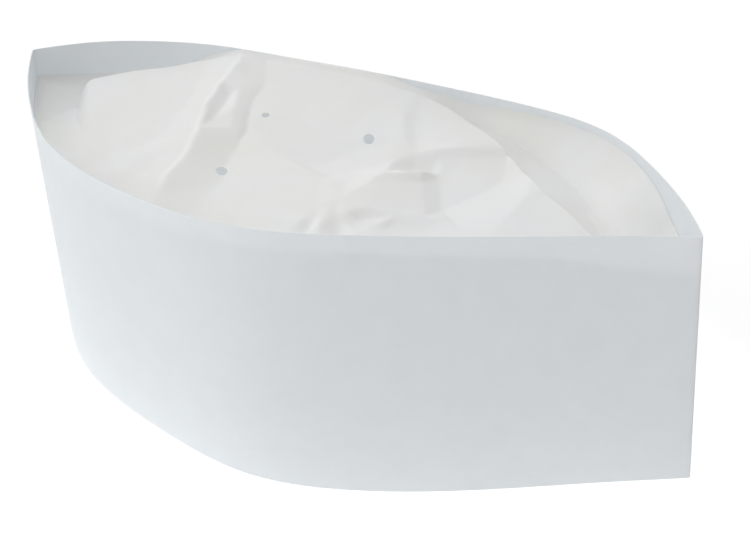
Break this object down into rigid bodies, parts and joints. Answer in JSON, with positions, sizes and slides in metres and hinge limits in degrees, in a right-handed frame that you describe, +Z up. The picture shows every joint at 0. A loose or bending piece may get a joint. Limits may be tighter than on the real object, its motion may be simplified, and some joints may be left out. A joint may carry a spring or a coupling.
{
  "type": "paper soda jerk hat",
  "caption": "Boat-shaped paper cap: two stiff white side panels meeting at creased tips, and a crumpled tissue crown set in below the rim.",
  "frame": {"origin": "middle of the outer box on the plane that the hem rests on", "axes": "+X from the back tip to the front tip, the longest extent; +Y to the wearer's left; +Z up, from hem to rim"},
  "size_m": [0.2548, 0.1278, 0.082],
  "materials": {
    "bond_paper": "smooth matt bluish-white bond paper",
    "tissue_paper": "crumpled matt warm-white tissue paper"
  },
  "bodies": {
    "root": {"right_side_panel": "bond_paper", "left_side_panel": "bond_paper", "crown": "tissue_paper"}
  },
  "joints": []
}
